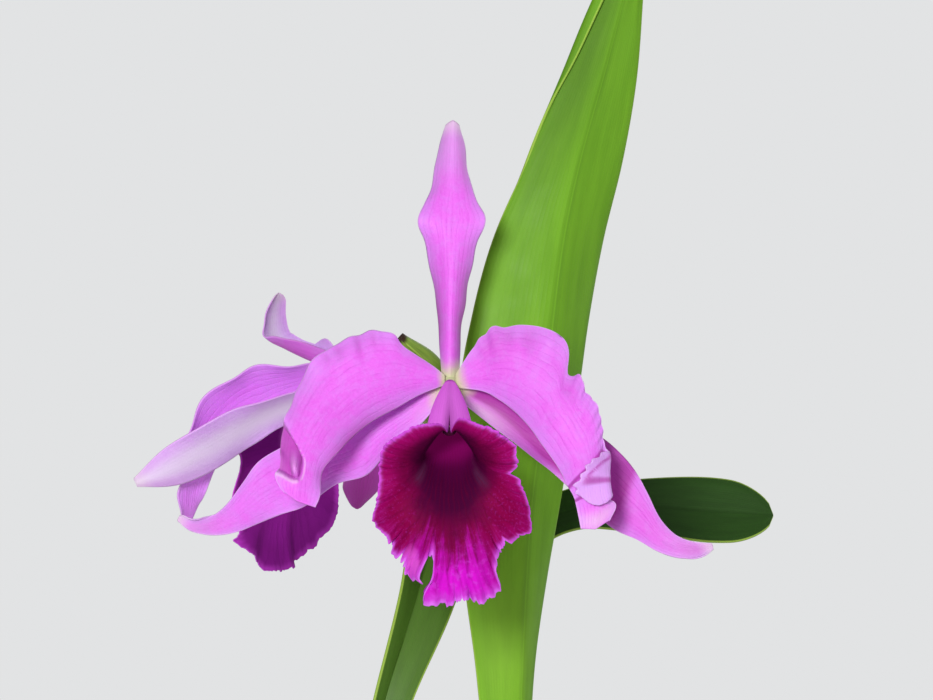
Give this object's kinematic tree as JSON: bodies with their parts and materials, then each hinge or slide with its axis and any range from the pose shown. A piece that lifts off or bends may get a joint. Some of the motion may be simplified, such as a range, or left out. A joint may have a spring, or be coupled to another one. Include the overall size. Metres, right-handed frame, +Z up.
{
  "type": "potted cattleya orchid",
  "caption": "Cattleya orchid in flower: swollen green stems with strap leaves, magenta blooms with a ruffled crimson lip, in a plain clay pot of bark.",
  "frame": {"origin": "centre of the pot's underside, on the surface that the pot stands on", "axes": "+Z up along the pot's axis; the front bloom faces -Y, and the reclining rear leaf points to +X"},
  "size_m": [0.2211, 0.1834, 0.5923],
  "materials": {
    "clay": "matt fired clay",
    "bark": "rough conifer bark",
    "rhizome": "woody, matt",
    "pseudobulb": "waxy living stem",
    "dry_husk": "papery, dry",
    "leaf": "leathery, satin",
    "leaf_dark": "leathery, satin",
    "sheath": "thin and leathery",
    "stalk": "smooth living stem",
    "sepal": "soft petal, faint sparkle",
    "petal": "soft petal, faint sparkle",
    "lip": "velvety, veined",
    "column": "fleshy, smooth",
    "anther_cap": "waxy cream"
  },
  "bodies": {
    "root": {"pot": "clay", "potting_bark": "bark", "rhizome": "rhizome", "pseudobulb_tall": "pseudobulb", "pseudobulb_left": "pseudobulb", "pseudobulb_rear": "pseudobulb", "husk_tall": "dry_husk", "husk_left": "dry_husk", "husk_rear": "dry_husk", "leaf_tall": "leaf", "leaf_left": "leaf", "leaf_rear": "leaf_dark", "flower_sheath": "sheath", "flower_stalk": "stalk", "front_dorsal_sepal": "sepal", "front_left_sepal": "sepal", "front_right_sepal": "sepal", "front_left_petal": "petal", "front_right_petal": "petal", "front_lip": "lip", "front_column": "column", "front_anther_cap": "anther_cap", "rear_dorsal_sepal": "sepal", "rear_left_sepal": "sepal", "rear_right_sepal": "sepal", "rear_left_petal": "petal", "rear_right_petal": "petal", "rear_lip": "lip", "rear_column": "column", "rear_anther_cap": "anther_cap"}
  },
  "joints": []
}
